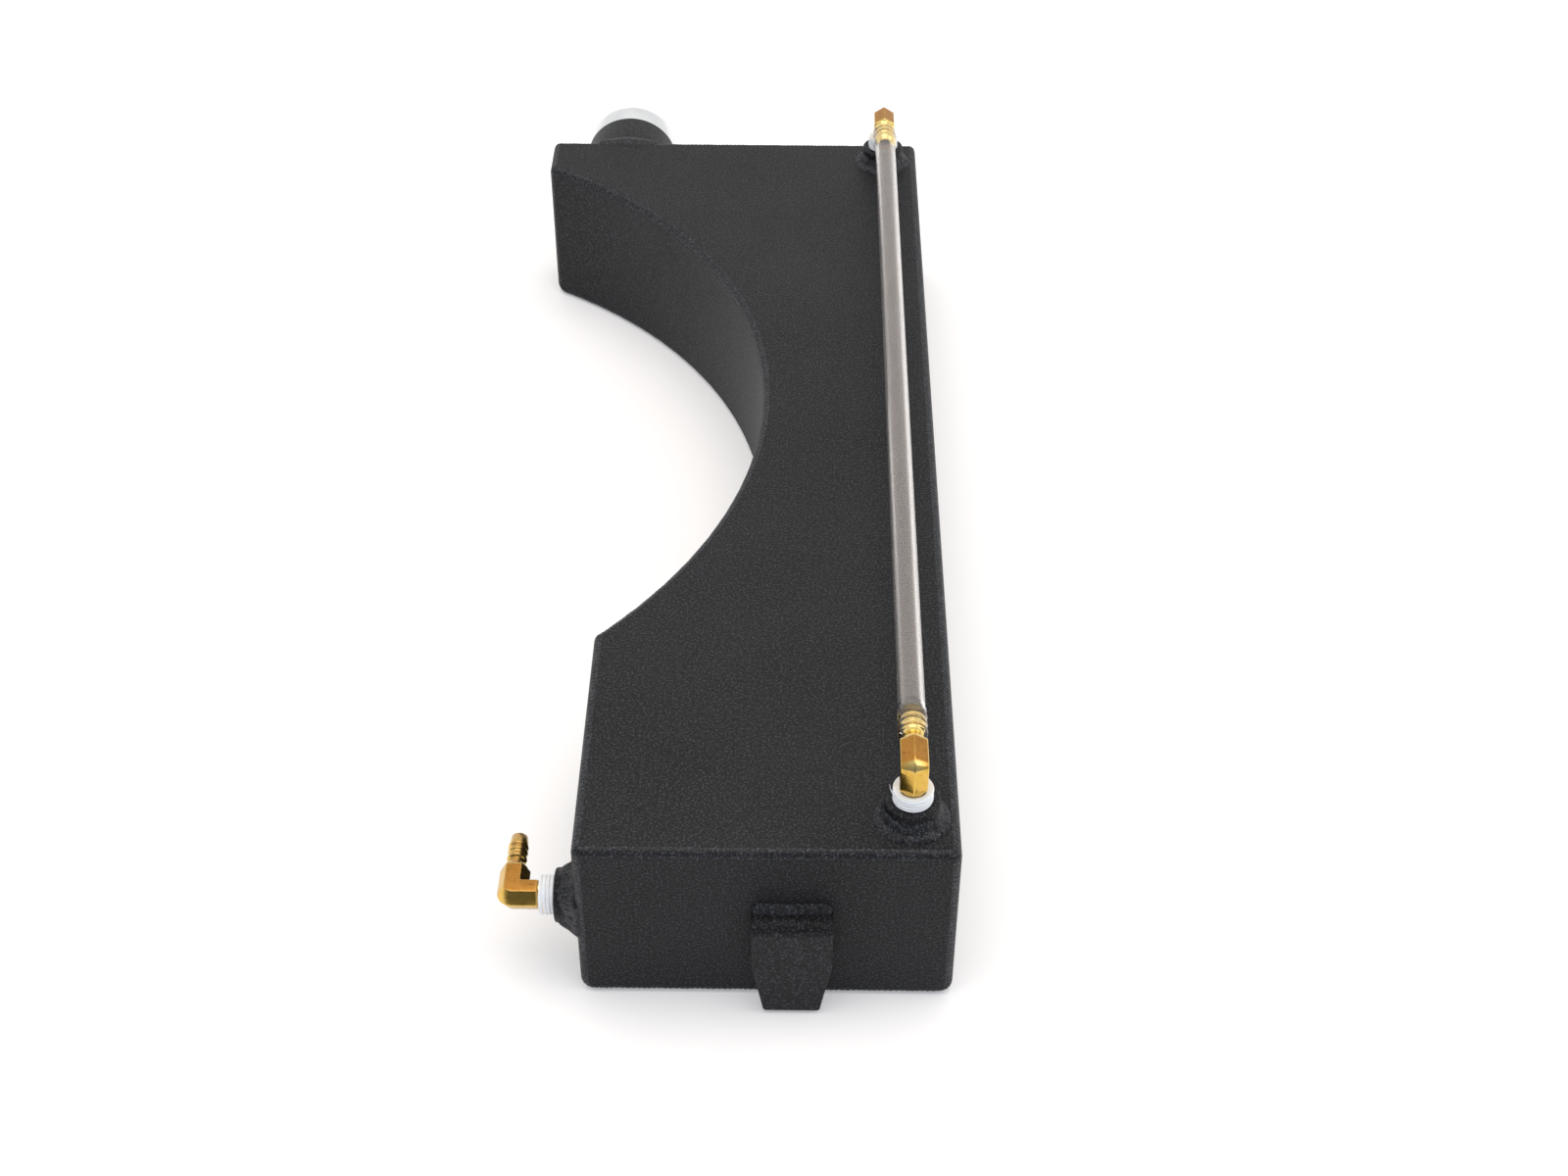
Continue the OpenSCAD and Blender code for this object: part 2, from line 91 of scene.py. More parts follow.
PITCH, YAW, ROLL, LENS = 40.3726, -0.4376, 0.2549, 51.753
EYE = (-20.49, -777.75, 627.29)
right, down, forward = camera_rows(PITCH, YAW, ROLL)
camera_data = bpy.data.cameras.new("camera")
camera_data.sensor_width = 36.0
camera_data.lens = LENS
camera_data.clip_start, camera_data.clip_end = 0.05, 100.0
camera = bpy.data.objects.new("camera", camera_data)
bpy.context.scene.collection.objects.link(camera)
place = np.eye(4)
place[:3, 0], place[:3, 1], place[:3, 2] = right, -down, -forward
place[:3, 3] = np.array(EYE) / 1000
camera.matrix_world = Matrix(place.tolist())
bpy.context.scene.camera = camera
print("camera at", [round(v, 3) for v in place[:3, 3]])

# %% [markdown]
# ## Materials, one node at a time
# A material in Blender is a small graph of nodes. One helper is enough to write any of them: it
# adds a node, sets its options, and for each input either writes a value or draws a link.
# Colours are written as the hex values that a screen shows, and turned to the linear values that
# the renderer works with.

# %% Helpers for materials
def linear(hex_colour):
    """Linear RGBA of an sRGB hex colour: v/12.92 below 0.04045, else ((v + 0.055)/1.055)^2.4."""
    v = np.array([int(hex_colour[i:i + 2], 16) / 255 for i in (1, 3, 5)])
    v = np.where(v <= 0.04045, v / 12.92, ((v + 0.055) / 1.055) ** 2.4)
    return (*v.tolist(), 1.0)


def add(tree, kind, inputs=None, **options):
    """Add a node of this kind. An input given as a socket is linked, anything else is written."""
    made = tree.nodes.new("ShaderNode" + kind)
    for name, value in options.items():
        setattr(made, name, value)
    for key, value in (inputs or {}).items():
        if isinstance(value, bpy.types.NodeSocket):
            tree.links.new(value, made.inputs[key])
        else:
            made.inputs[key].default_value = value
    return made


def empty_material(name):
    """A material whose graph holds nothing yet."""
    material = bpy.data.materials.new(name)
    material.use_nodes = True
    material.node_tree.nodes.clear()
    return material, material.node_tree


def per_mm(size):
    """Noise scale, in turns per metre, that draws grains of this size in millimetres."""
    return 1000.0 / size


print("the coat's grey in linear values:", [round(v, 4) for v in linear("#2a2a2b")[:3]])

# %% [markdown]
# ## Floor and light
# The photograph has a white sweep with soft grey shadows close to the tank. The floor is a pale
# matt white. A little of its own light is added only where the camera, a reflection or the hose
# looks at it, so it reads as white there while it still darkens in the tank's shadow.

# %% Floor
def white_to_the_eye(tree):
    """1 for camera, mirror and see-through rays, 0 for the rays that carry light to the object."""
    path = add(tree, "LightPath")
    some = add(tree, "Math", {0: path.outputs["Is Camera Ray"], 1: path.outputs["Is Glossy Ray"]},
               operation="MAXIMUM")
    return add(tree, "Math", {0: some.outputs[0], 1: path.outputs["Is Transmission Ray"]},
               operation="MAXIMUM")


floor_material, tree = empty_material("matt_white_floor")
FLOOR_GLOW = 0.21
seen = white_to_the_eye(tree)
glow = add(tree, "Math", {0: seen.outputs[0], 1: FLOOR_GLOW}, operation="MULTIPLY")
paint = add(tree, "BsdfDiffuse", {"Color": linear("#f2f1ef")})
light = add(tree, "Emission", {"Color": linear("#ffffff"), "Strength": glow.outputs[0]})
both = add(tree, "AddShader", {0: paint.outputs[0], 1: light.outputs[0]})
add(tree, "OutputMaterial", {"Surface": both.outputs[0]})

floor_mesh = bpy.data.meshes.new("floor")
floor_mesh.from_pydata([(-20, -20, 0), (20, -20, 0), (20, 20, 0), (-20, 20, 0)], [], [(0, 1, 2, 3)])
floor_mesh.materials.append(floor_material)
floor = bpy.data.objects.new("floor", floor_mesh)
bpy.context.scene.collection.objects.link(floor)

# %% World and lamps
world = bpy.data.worlds.new("white_sweep")
bpy.context.scene.world = world
world.use_nodes = True
tree = world.node_tree
tree.nodes.clear()
# The room behind the photographer is darker and cooler than the sweep, so what faces front is
# dimmer and a little blue.
towards = add(tree, "SeparateXYZ", {"Vector": add(tree, "TexCoord").outputs["Generated"]})
room = add(tree, "MapRange", {"Value": towards.outputs[1], "From Min": -0.75, "From Max": 0.25,
                              "To Min": 0.22, "To Max": 1.0})
path = add(tree, "LightPath")
mirror = add(tree, "Math", {0: room.outputs[0], 1: path.outputs["Is Glossy Ray"]}, operation="MULTIPLY")
even = add(tree, "Math", {0: path.outputs["Is Diffuse Ray"], 1: 0.85}, operation="MULTIPLY")
lit = add(tree, "Math", {0: mirror.outputs[0], 1: even.outputs[0]}, operation="MAXIMUM")
clear = add(tree, "Math", {0: path.outputs["Is Camera Ray"], 1: path.outputs["Is Transmission Ray"]},
            operation="MAXIMUM")
strength = add(tree, "Math", {0: lit.outputs[0], 1: clear.outputs[0]}, operation="MAXIMUM")
cool = add(tree, "MapRange", {"Value": towards.outputs[1], "From Min": -0.9, "From Max": 0.0})
unseen = add(tree, "Math", {0: clear.outputs[0], 1: cool.outputs[0]}, operation="MAXIMUM")
tone = add(tree, "Mix", {0: unseen.outputs[0], 6: linear("#dde7fd"), 7: linear("#ffffff")},
           data_type="RGBA")
sky = add(tree, "Background", {"Color": tone.outputs[2], "Strength": strength.outputs[0]})
add(tree, "OutputWorld", {"Surface": sky.outputs[0]})


def softbox(name, place, aim, size, watts, colour):
    """A square lamp of the given size in metres, turned to face the point it aims at."""
    lamp = bpy.data.lights.new(name, "AREA")
    lamp.shape, lamp.size, lamp.energy = "SQUARE", size, watts
    lamp.color = linear(colour)[:3]
    holder = bpy.data.objects.new(name, lamp)
    bpy.context.scene.collection.objects.link(holder)
    away = np.array(place, float) - np.array(aim, float)
    away /= np.linalg.norm(away)
    side = np.cross([0, 1, 0], away)
    side /= np.linalg.norm(side)
    turn = np.eye(4)
    turn[:3, 0], turn[:3, 1], turn[:3, 2], turn[:3, 3] = side, np.cross(away, side), away, place
    holder.matrix_world = Matrix(turn.tolist())


softbox("top_softbox", (-0.1, 0.0, 1.7), (0, 0, 0.05), 1.5, 13.0, "#fff4ea")
softbox("right_softbox", (1.4, -0.2, 1.1), (0, 0, 0.04), 1.0, 5.0, "#fffcf8")
bpy.context.scene.view_settings.view_transform = "Standard"

# %% [markdown]
# ## Powder coat
# The tank is welded aluminium with a baked powder coat, a thick satin skin with a fine sandy
# texture from the powder's grains. It could be modelled by displacing the mesh, but the grains
# are a fraction of a millimetre wide, so a bump drawn from noise gives the same sparkle for
# nothing. Real grains are too fine to show here, so they are drawn 0.62 mm wide, as coarse as they
# need to be. The same finish lies on the welds, a little smoother where the bead melted round, and
# painted lighter and bluer there: a painted sheen and reflection of the cool room on the beads.

# %% Powder coat, for the sheets and, smoother and painted lighter, for the welds
def powder_coat(name, dark, pale, grain, rough, bump, level):
    """Powder-coated aluminium, baked: noise grains lift the surface and pale flecks, painted glints of
    the grains, are mixed into the colour.
    """
    material, tree = empty_material(name)
    where = add(tree, "TexCoord").outputs["Object"]
    grains = add(tree, "TexNoise", {"Vector": where, "Scale": per_mm(grain), "Detail": 2.0})
    fleck = add(tree, "TexNoise", {"Vector": where, "Scale": per_mm(grain * 1.25), "Detail": 1.0})
    # The pale flecks are painted glints: specks of light off the grains, painted into the colour.
    painted_glint_flecks = add(tree, "MapRange", {"Value": fleck.outputs[0], "From Min": 0.5, "From Max": 0.72})
    cloud = add(tree, "TexNoise", {"Vector": where, "Scale": per_mm(60.0), "Detail": 3.0})
    worn = add(tree, "MapRange", {"Value": cloud.outputs[0], "From Min": 0.3, "From Max": 0.7,
                                  "To Min": 0.0, "To Max": 0.12})
    # share adds the painted glints to a slow random tone.
    share = add(tree, "Math", {0: painted_glint_flecks.outputs[0], 1: worn.outputs[0]}, operation="ADD",
                use_clamp=True)
    colour = add(tree, "Mix", {0: share.outputs[0], 6: linear(dark), 7: linear(pale)},
                 data_type="RGBA")
    gloss = add(tree, "MapRange", {"Value": grains.outputs[0], "From Min": 0.3, "From Max": 0.7,
                                   "To Min": rough - 0.06, "To Max": rough + 0.08})
    lift = add(tree, "Bump", {"Height": grains.outputs[0], "Strength": bump, "Distance": 0.0003})
    skin = add(tree, "BsdfPrincipled", {
        "Base Color": colour.outputs[2], "Roughness": gloss.outputs[0], "IOR": 1.5,
        "Specular IOR Level": level, "Normal": lift.outputs[0]})
    add(tree, "OutputMaterial", {"Surface": skin.outputs[0]})
    return material


GRAIN = 0.62
# The coat's faint blue is a painted reflection of the cool room in front of the tank.
coat = powder_coat("satin_black_powder_coat", "#08090b", "#3b3c40", GRAIN, 0.50, 0.9, 0.21)
# The weld coat is painted lighter and bluer than the sheets' coat: painted sheen and reflection of the
# cool room on the rounded beads.
coat_on_weld_painted_lighter = powder_coat("powder_coat_over_weld_painted_lighter", "#0f1013", "#43454b", GRAIN, 0.45, 0.7, 0.31)
for name in ("back_pan", "front_plate", "lower_end_plate", "upper_end_plate", "curved_wall"):
    nodes[name].data.materials[0] = coat
print("coated nodes have", len(nodes["back_pan"].data.materials), "slot each")

# %% [markdown]
# ## From numbers to a mesh
# Every new piece below is a grid of points worked out by numpy: a profile that travels along a
# path. One helper joins neighbouring points into quads, another welds doubled points, turns the
# faces outwards, keeps real corners crisp, hangs the piece under its body's empty and hides the solid it
# replaces.

# %% Mesh helpers
def quads(rows, cols, rows_wrap, cols_wrap):
    """Corner numbers of the quad between each pair of neighbouring rows and columns."""
    r = np.arange(rows if rows_wrap else rows - 1)
    c = np.arange(cols if cols_wrap else cols - 1)
    r, c = [a.ravel() for a in np.meshgrid(r, c, indexing="ij")]
    r2, c2 = (r + 1) % rows, (c + 1) % cols
    return np.stack([r * cols + c, r * cols + c2, r2 * cols + c2, r2 * cols + c], axis=1)


def piece(name, grids, material, replaced, body="tank", crisp=35.0):
    """Make one object from grids of points in mm. A grid is (points, rows wrap, columns wrap, polish).

    A grid whose rows don't wrap gets its first and last row closed by one face each. The polish
    number of each point is 1 where the finish is rubbed bright or a highlight is painted on, and the
    material may read it.
    """
    points, faces, polish_and_highlight, first = [], [], [], 0
    for grid, rows_wrap, cols_wrap, bright in grids:
        rows, cols = grid.shape[:2]
        points.append(grid.reshape(-1, 3) / 1000.0)
        polish_and_highlight.append(np.broadcast_to(bright, (rows, cols)).ravel())
        faces += (quads(rows, cols, rows_wrap, cols_wrap) + first).tolist()
        if not rows_wrap:
            ring = np.arange(cols)
            faces += [(ring[::-1] + first).tolist(), (ring + first + (rows - 1) * cols).tolist()]
        first += rows * cols
    mesh = bpy.data.meshes.new(name)
    mesh.from_pydata(np.concatenate(points).tolist(), [], faces)
    mesh.attributes.new("polish_and_highlight", "FLOAT", "POINT").data.foreach_set("value", np.concatenate(polish_and_highlight))
    work = bmesh.new()
    work.from_mesh(mesh)
    bmesh.ops.remove_doubles(work, verts=work.verts, dist=2e-6)
    bmesh.ops.recalc_face_normals(work, faces=work.faces)
    work.to_mesh(mesh)
    work.free()
    mesh.polygons.foreach_set("use_smooth", np.ones(len(mesh.polygons), bool))
    mesh.set_sharp_from_angle(angle=math.radians(crisp))
    mesh.materials.append(material)
    made = bpy.data.objects.new(name, mesh)
    bpy.context.scene.collection.objects.link(made)
    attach(made, body)
    if replaced:
        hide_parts(*replaced)
    print(f"{name}: {len(mesh.vertices)} points, {len(mesh.polygons)} faces")
    return made


# %% [markdown]
# ## Weld beads
# A weld laid by hand is a row of overlapping puddles, one every two millimetres or so. Each
# puddle freezes into a crescent, and the dips between them make the edge look like a stack of
# coins. A texture could paint that, but the silhouette would stay smooth, so the bead is modelled:
# a quarter-round profile goes along the seam, and its radius dips at each crescent.

# %% The path of a seam
STEP = 0.34


def straight(start, end, angle):
    """Points from start to end, a STEP apart without the last, all facing the same angle."""
    start, end = np.array(start, float), np.array(end, float)
    n = max(2, int(np.linalg.norm(end - start) / STEP))
    t = np.arange(n)[:, None] / n
    return start + t * (end - start), np.full(n, math.radians(angle))


def fan(point, start, end):
    """One point whose facing turns from start to end degrees, for the outside of a corner."""
    n = max(2, int(abs(math.radians(end - start)) * SHEET / STEP))
    t = np.arange(n) / n
    return np.repeat([point], n, axis=0).astype(float), np.radians(start + t * (end - start))


def bend(centre, radius, start, end, facing):
    """Points on an arc of a circle. facing is 0 to face out of the circle and 180 to face in."""
    n = max(3, int(abs(math.radians(end - start)) * (radius + (facing == 0) * SHEET) / STEP))
    a = np.radians(start + np.arange(n) / n * (end - start))
    around = np.stack([np.cos(a), np.sin(a)], axis=1)
    return np.array(centre, float) + radius * around, a + math.radians(facing)


def joined(*legs):
    """The legs of a path, one after another, as points and facings."""
    return np.concatenate([p for p, _ in legs]), np.concatenate([a for _, a in legs])


def lay(points, angles, plane):
    """A flat path in space. plane gives the origin and the two directions that it is drawn in."""
    origin, one, two = [np.array(v, float) for v in plane]
    centre = origin + points[:, :1] * one + points[:, 1:] * two
    facing = np.cos(angles)[:, None] * one + np.sin(angles)[:, None] * two
    return centre, facing


# %% The bead that is laid on it
def bead(centre, facing, up, leg, pitch=1.9, dip=0.32, lump=0.14, closed=False, seed=0.0, hollow=0.0,
         tall=1.0, skirt=0.0):
    """A rippled quarter-round bead with a closed section.

    At the length s along the path and the share t of the quarter turn from facing to up, a point
    lies at centre + r(s, t) d(t). d swings evenly from facing to up. r is the leg, less the dip
    times 1 - |sin(pi u)|^0.6, which is sharp between puddles, less slow lumps. u counts puddles,
    and goes ahead by 0.6 in the middle of the bead, which bows each ripple into a crescent. hollow
    takes that share off the middle of the section, where 0.29 is a flat one. The dips fade to a
    quarter at the toes, so they stay flush. tall stretches the bead along up, and skirt carries
    its outer toe that far down into the sheet.
    """
    n, m = facing, np.broadcast_to(np.array(up, float), facing.shape)
    leg = np.broadcast_to(np.array(leg, float), (len(n),))[:, None]
    outer = centre + leg * n
    hops = np.linalg.norm(np.diff(outer, axis=0), axis=1)
    s = np.concatenate([[0.0], np.cumsum(hops)])[:, None]
    if closed:
        length = s[-1, 0] + np.linalg.norm(outer[0] - outer[-1])
        pitch = length / round(length / pitch)
        slow = 2 * math.pi * s / length
    else:
        length, slow = s[-1, 0], 2 * math.pi * s / max(s[-1, 0], 1.0)
    t = np.linspace(0.0, 1.0, 9)[None, :]
    swing = np.arccos(np.clip((n * m).sum(1), -1, 1))[:, None, None]
    d = (np.sin((1 - t[..., None]) * swing) * n[:, None] + np.sin(t[..., None] * swing) * m[:, None])
    d = d / np.sin(swing)
    turns = np.round(length / 17.0) + 1
    u = s / pitch + 2.4 * t * (1 - t) + 0.12 * np.sin(slow * turns + seed)
    puddle = 1 - np.abs(np.sin(math.pi * u)) ** 0.6
    slow_lump = 0.5 + 0.25 * np.sin(slow * (turns + 2) + 3 * t + seed) \
        + 0.25 * np.sin(slow * (2 * turns + 3) - 2 * t + 2 * seed)
    r = leg - 0.03 - (dip * puddle + lump * slow_lump) * (0.25 + 0.75 * np.sin(math.pi * t))
    r = np.maximum(r * (1 - hollow * np.sin(math.pi * t)), 0.3)
    along = (d * m[:, None]).sum(2, keepdims=True) * m[:, None]
    skin = centre[:, None] + r[..., None] * (d + (tall - 1) * along)
    root = centre - 0.06 * n - (0.06 + skirt) * m
    rows = [root[:, None], (skin[:, 0] - skirt * m - 0.5 * (skirt > 0) * n)[:, None], skin]
    return np.concatenate(rows if skirt else [rows[0], skin], axis=1), closed, True, 0.0


# %% Seams round the front plate and the end plates
low_left, low_right = (LOW_X + SHEET, LOW_Y + SHEET), (SIDE_X - SHEET, LOW_Y + SHEET)
up_left, up_right = (UP_X + SHEET, UP_Y - SHEET), (SIDE_X - SHEET, UP_Y - SHEET)
cut_low, cut_up = (LOW_X + SHEET, JOIN_LOW_Y), (UP_X + SHEET, JOIN_UP_Y)
front_path = joined(
    fan(low_left, 180, 270), straight(low_left, low_right, 270),
    fan(low_right, 270, 360), straight(low_right, up_right, 0),
    fan(up_right, 0, 90), straight(up_right, up_left, 90),
    fan(up_left, 90, 180), straight(up_left, cut_up, 180),
    fan(cut_up, 180, UP_DEG + 180), bend((CUT_X, 0), INNER_R, UP_DEG, LOW_DEG, 180),
    fan(cut_low, LOW_DEG + 180, 180), straight(cut_low, low_left, 180))
flat_at = lambda z: ((0, 0, z), (1, 0, 0), (0, 1, 0))
piece("front_seam_bead", [bead(*lay(*front_path, flat_at(WALL_TOP)), (0, 0, 1), SHEET, closed=True)],
      coat_on_weld_painted_lighter, ["front_seam_weld"], crisp=60)


def end_path(left):
    """Down the left edge of an end plate, round under it and up its right edge."""
    low = SHEET + FOLD_R
    return joined(
        straight((left + SHEET, WALL_TOP), (left + SHEET, low), 180),
        bend((left + low, low), FOLD_R, 180, 270, 0),
        straight((left + low, SHEET), (SIDE_X - low, SHEET), 270),
        bend((SIDE_X - low, low), FOLD_R, 270, 360, 0),
        straight((SIDE_X - SHEET, low), (SIDE_X - SHEET, WALL_TOP), 0))


upright = lambda y: ((0, y, 0), (1, 0, 0), (0, 0, 1))
piece("lower_end_bead", [bead(*lay(*end_path(LOW_X), upright(LOW_Y + SHEET)), (0, -1, 0), SHEET,
                              seed=1.0)],
      coat_on_weld_painted_lighter, ["lower_end_weld"], crisp=60)
piece("upper_end_bead", [bead(*lay(*end_path(UP_X), upright(UP_Y - SHEET)), (0, 1, 0), SHEET,
                              seed=2.0)],
      coat_on_weld_painted_lighter, ["upper_end_weld"], crisp=60)

# %% Seams along the back and up the corners of the cut-out
FOLD_IN = SHEET + FOLD_R
back_low = -math.degrees(math.acos((LOW_X + FOLD_IN - CUT_X) / INNER_R))
back_up = math.degrees(math.acos((UP_X + FOLD_IN - CUT_X) / INNER_R))
back_path = joined(bend((CUT_X, 0), INNER_R, back_low, back_up, 180))


def corner_bead(corner, cut_angle, seed):
    """A bead that comes down a corner of the cut-out and round the fold at its foot.

    Its section fills the turn from the side of the tank to the facing of the cut-out. At the foot
    the centre goes round a quarter circle of the fold's inside radius, and follows the cut-out's
    circle in y: it shifts by -cot(angle) for each millimetre in x.
    """
    z = np.arange(WALL_TOP, FOLD_IN, -STEP)
    phi = np.radians(np.linspace(180, 270, 24))
    x = np.concatenate([np.zeros(len(z)), FOLD_R + FOLD_R * np.cos(phi)])
    high = np.concatenate([z, FOLD_IN + FOLD_R * np.sin(phi)])
    slope = -1 / math.tan(math.radians(cut_angle))
    centre = np.stack([corner[0] + x, corner[1] + slope * x, high], axis=1)
    turn = np.concatenate([np.full(len(z), math.pi), phi])
    side = np.stack([np.cos(turn), 0 * turn, np.sin(turn)], axis=1)
    a = math.radians(cut_angle + 180)
    return bead(centre, side, (math.cos(a), math.sin(a), 0), SHEET, seed=seed)


piece("cutout_bead", [
    bead(*lay(*back_path, flat_at(SHEET)), (0, 0, -1), SHEET, dip=0.4, seed=3.0),
    corner_bead(cut_low, LOW_DEG, 4.0), corner_bead(cut_up, UP_DEG, 5.0)],
    coat_on_weld_painted_lighter, ["cutout_weld"], crisp=60)

# %% [markdown]
# ## The mounting tab
# The tab is a strip cut from the same sheet, bent once and tapered to its tip. Its shape is a
# rounded rectangle carried along the strip's middle line, and its width narrows on the way. The
# short rounded edges matter: the thin bright line at its tip in the photograph is one of them.

# %% Mounting tab and its welds
TAB_X, TAB_Z, TAB_W, TAB_REACH = -21.15, 44.7, 28.0, 9.0
TAB_TIP_W, TAB_TIP_Z, TAB_TAPER_Z, TIP_ROUND = 19.2, 1.5, 25.0, 1.0


def strip():
    """A rounded rectangle carried from the tank's end, out, round the bend and down to the tip.

    The middle line is two straights joined by a quarter circle. At the depth z the half width is
    half of 28 mm, and below the taper's height it falls evenly to half of 19.2 mm.
    """
    half, bend_r = SHEET / 2, 3.0
    out = np.linspace(0.3, -(TAB_REACH - half - bend_r), 8)
    a = np.radians(np.linspace(90, 180, 14))[1:-1]
    top, far = TAB_Z - half, -(TAB_REACH - half)
    drop = np.concatenate([np.linspace(top - bend_r, TAB_TIP_Z + TIP_ROUND, 24),
                           TAB_TIP_Z + TIP_ROUND * (1 - np.sin(np.radians(np.linspace(15, 90, 6))))])
    y = np.concatenate([out, far + bend_r + bend_r * np.cos(a), np.full(len(drop), far)])
    z = np.concatenate([np.full(len(out), top), top - bend_r + bend_r * np.sin(a), drop])
    turn = np.concatenate([np.zeros(len(out)), a - math.pi / 2, np.full(len(drop), math.pi / 2)])
    wide = np.where(z < TAB_TAPER_Z, TAB_TIP_W + (TAB_W - TAB_TIP_W) * z / TAB_TAPER_Z, TAB_W) / 2
    tip = np.clip((z - TAB_TIP_Z) / TIP_ROUND, 0, 1)
    shrink = 0.8 * (1 - np.sqrt(np.clip(1 - (1 - tip) ** 2, 0, 1)))
    round_r, k = 0.6, np.radians(np.arange(0, 91, 22.5))
    corner = np.concatenate([k + q * math.pi / 2 for q in range(4)])
    sx = np.repeat([1, -1, -1, 1], 5)
    st = np.repeat([1, 1, -1, -1], 5)
    wx = sx * (wide[:, None] - shrink[:, None] - round_r) + round_r * np.cos(corner)
    th = st * (half - 0.5 * shrink[:, None] - round_r) + round_r * np.sin(corner)
    ny, nz = -np.sin(turn)[:, None], np.cos(turn)[:, None]
    return np.stack([TAB_X + wx, LOW_Y + y[:, None] + th * ny, z[:, None] + th * nz], axis=2)


piece("bent_tab", [(strip(), False, True, 0.0)], coat, ["mounting_tab"], crisp=50)


def root_bead(z, up, seed):
    """A lumpy bead along the tab's root, with ends that round off as sqrt(1 - (1 - d/leg)^2)."""
    x = np.arange(-TAB_W / 2, TAB_W / 2 + STEP / 2, STEP / 2)
    centre = np.stack([TAB_X + x, np.full(len(x), LOW_Y), np.full(len(x), z)], axis=1)
    near = np.clip((TAB_W / 2 - np.abs(x)) / TAB_BEAD, 0.04, 1)
    leg = TAB_BEAD * np.sqrt(1 - (1 - near) ** 2)
    return bead(centre, np.repeat([[0.0, -1.0, 0.0]], len(x), axis=0), up, leg, pitch=2.6, dip=0.5,
                lump=0.5, seed=seed)


piece("tab_bead", [root_bead(TAB_Z, (0, 0, 1), 1.3), root_bead(TAB_Z - SHEET, (0, 0, -1), 4.1)],
      coat_on_weld_painted_lighter, ["tab_weld"], crisp=60)

# %% [markdown]
# ## Turned parts
# A lathe part is one outline carried round an axis. The bungs, the neck, the cap, the hose ends
# and the tape are all made so. A thread is the same thing with one change: the outline slides
# along the axis by one pitch as it goes once round, which is what a screw is.

# %% Lathe
def turned(outline, axis, around=96):
    """An outline of (radius, height) carried round an axis, given as an origin and x, y, z axes."""
    origin, ax, ay, az = [np.array(v, float) for v in axis]
    phi = np.arange(around) / around * 2 * math.pi
    r, h = np.broadcast_to(outline, (around,) + np.shape(outline)[-2:]).transpose(2, 0, 1)
    ring = np.cos(phi)[:, None, None] * ax + np.sin(phi)[:, None, None] * ay
    return origin + r[..., None] * ring + h[..., None] * az


OUTLET_AXIS = ((LOW_X, OUTLET_Y, OUTLET_Z), (0, 0, 1), (0, 1, 0), (-1, 0, 0))
GAUGE_AXES = [((GAUGE_X, y, TANK_T), (1, 0, 0), (0, 1, 0), (0, 0, 1)) for y in (GAUGE_LOW_Y, GAUGE_UP_Y)]
FITTINGS = [("outlet_{}", OUTLET_AXIS, 1), ("gauge_{}_lower", GAUGE_AXES[0], 1),
            ("gauge_{}_upper", GAUGE_AXES[1], -1)]

# %% Bungs and the ring beads that hold them
BUNG_EDGE = 0.9
edge = np.radians(np.linspace(0, 90, 7))
bung_line = np.concatenate([
    [[BUNG_BORE_R, -SHEET], [SPIGOT_R, -SHEET], [SPIGOT_R, -0.02], [BUNG_R, -0.02]],
    np.stack([BUNG_R - BUNG_EDGE + BUNG_EDGE * np.cos(edge),
              BUNG_H - BUNG_EDGE + BUNG_EDGE * np.sin(edge)], axis=1),
    [[BUNG_BORE_R + 0.3, BUNG_H], [BUNG_BORE_R, BUNG_H - 0.3]]])


def ring_bead(axis, radius, leg, slim, edge_at, tall, hollow, seed):
    """A lumpy bead round a turned part that stands on a sheet, and climbs higher than it spreads.

    a is the angle from the direction of the tank's lower end. The leg is full there, falls by the
    share slim (1 - cos a)/2 towards the far side, and wavers by 5% and 4% with 5 and 8 waves a turn.
    It is kept under edge_at/cos(a) less the radius, so that it stops at the edge.
    """
    origin, ax, ay, az = [np.array(v, float) for v in axis]
    n = int(2 * math.pi * (radius + leg) / STEP)
    a = (np.arange(n) / n * 2 * math.pi)[:, None]
    facing = np.cos(a) * ax + np.sin(a) * ay
    leg = leg * (1 - slim * (1 + facing[:, 1]) / 2)
    leg = leg * (1 + 0.05 * np.sin(5 * a[:, 0] + seed) + 0.04 * np.sin(8 * a[:, 0] - seed))
    leg = np.minimum(leg, edge_at / np.maximum(-facing[:, 1], 1e-3) - radius)
    return bead(origin + radius * facing, facing, az, leg, 2.6, 0.4, 1.1, closed=True, seed=seed,
                hollow=hollow, tall=tall, skirt=1.6)


for number, (pattern, axis, way) in enumerate(FITTINGS):
    piece(pattern.format("bung") + ".turned", [(turned(bung_line, axis), True, True, 0.0)], coat,
          [pattern.format("bung")], crisp=30)
    # The outlet's bead is fat and meets the tank's edge. The gauge's beads are low and thin off.
    shape = (4.8, 0.0, 12.8, 1.32, 0.27) if number == 0 else (4.6, 0.35, 99.0, 1.15, 0.36)
    piece(pattern.format("weld") + ".ring", [ring_bead(axis, BUNG_R, *shape, 1.7 * number)],
          coat_on_weld_painted_lighter, [pattern.format("weld")], crisp=60)

# %% Filler neck with its screw thread
NECK_X, NECK_Z, NECK_L, NECK_R, NECK_LEG = -106.45, 50.3, 23.0, 22.2, 3.5
NECK_AXIS = ((NECK_X, UP_Y, NECK_Z), (1, 0, 0), (0, 0, -1), (0, 1, 0))
THREAD_PITCH = 25.4 / 12


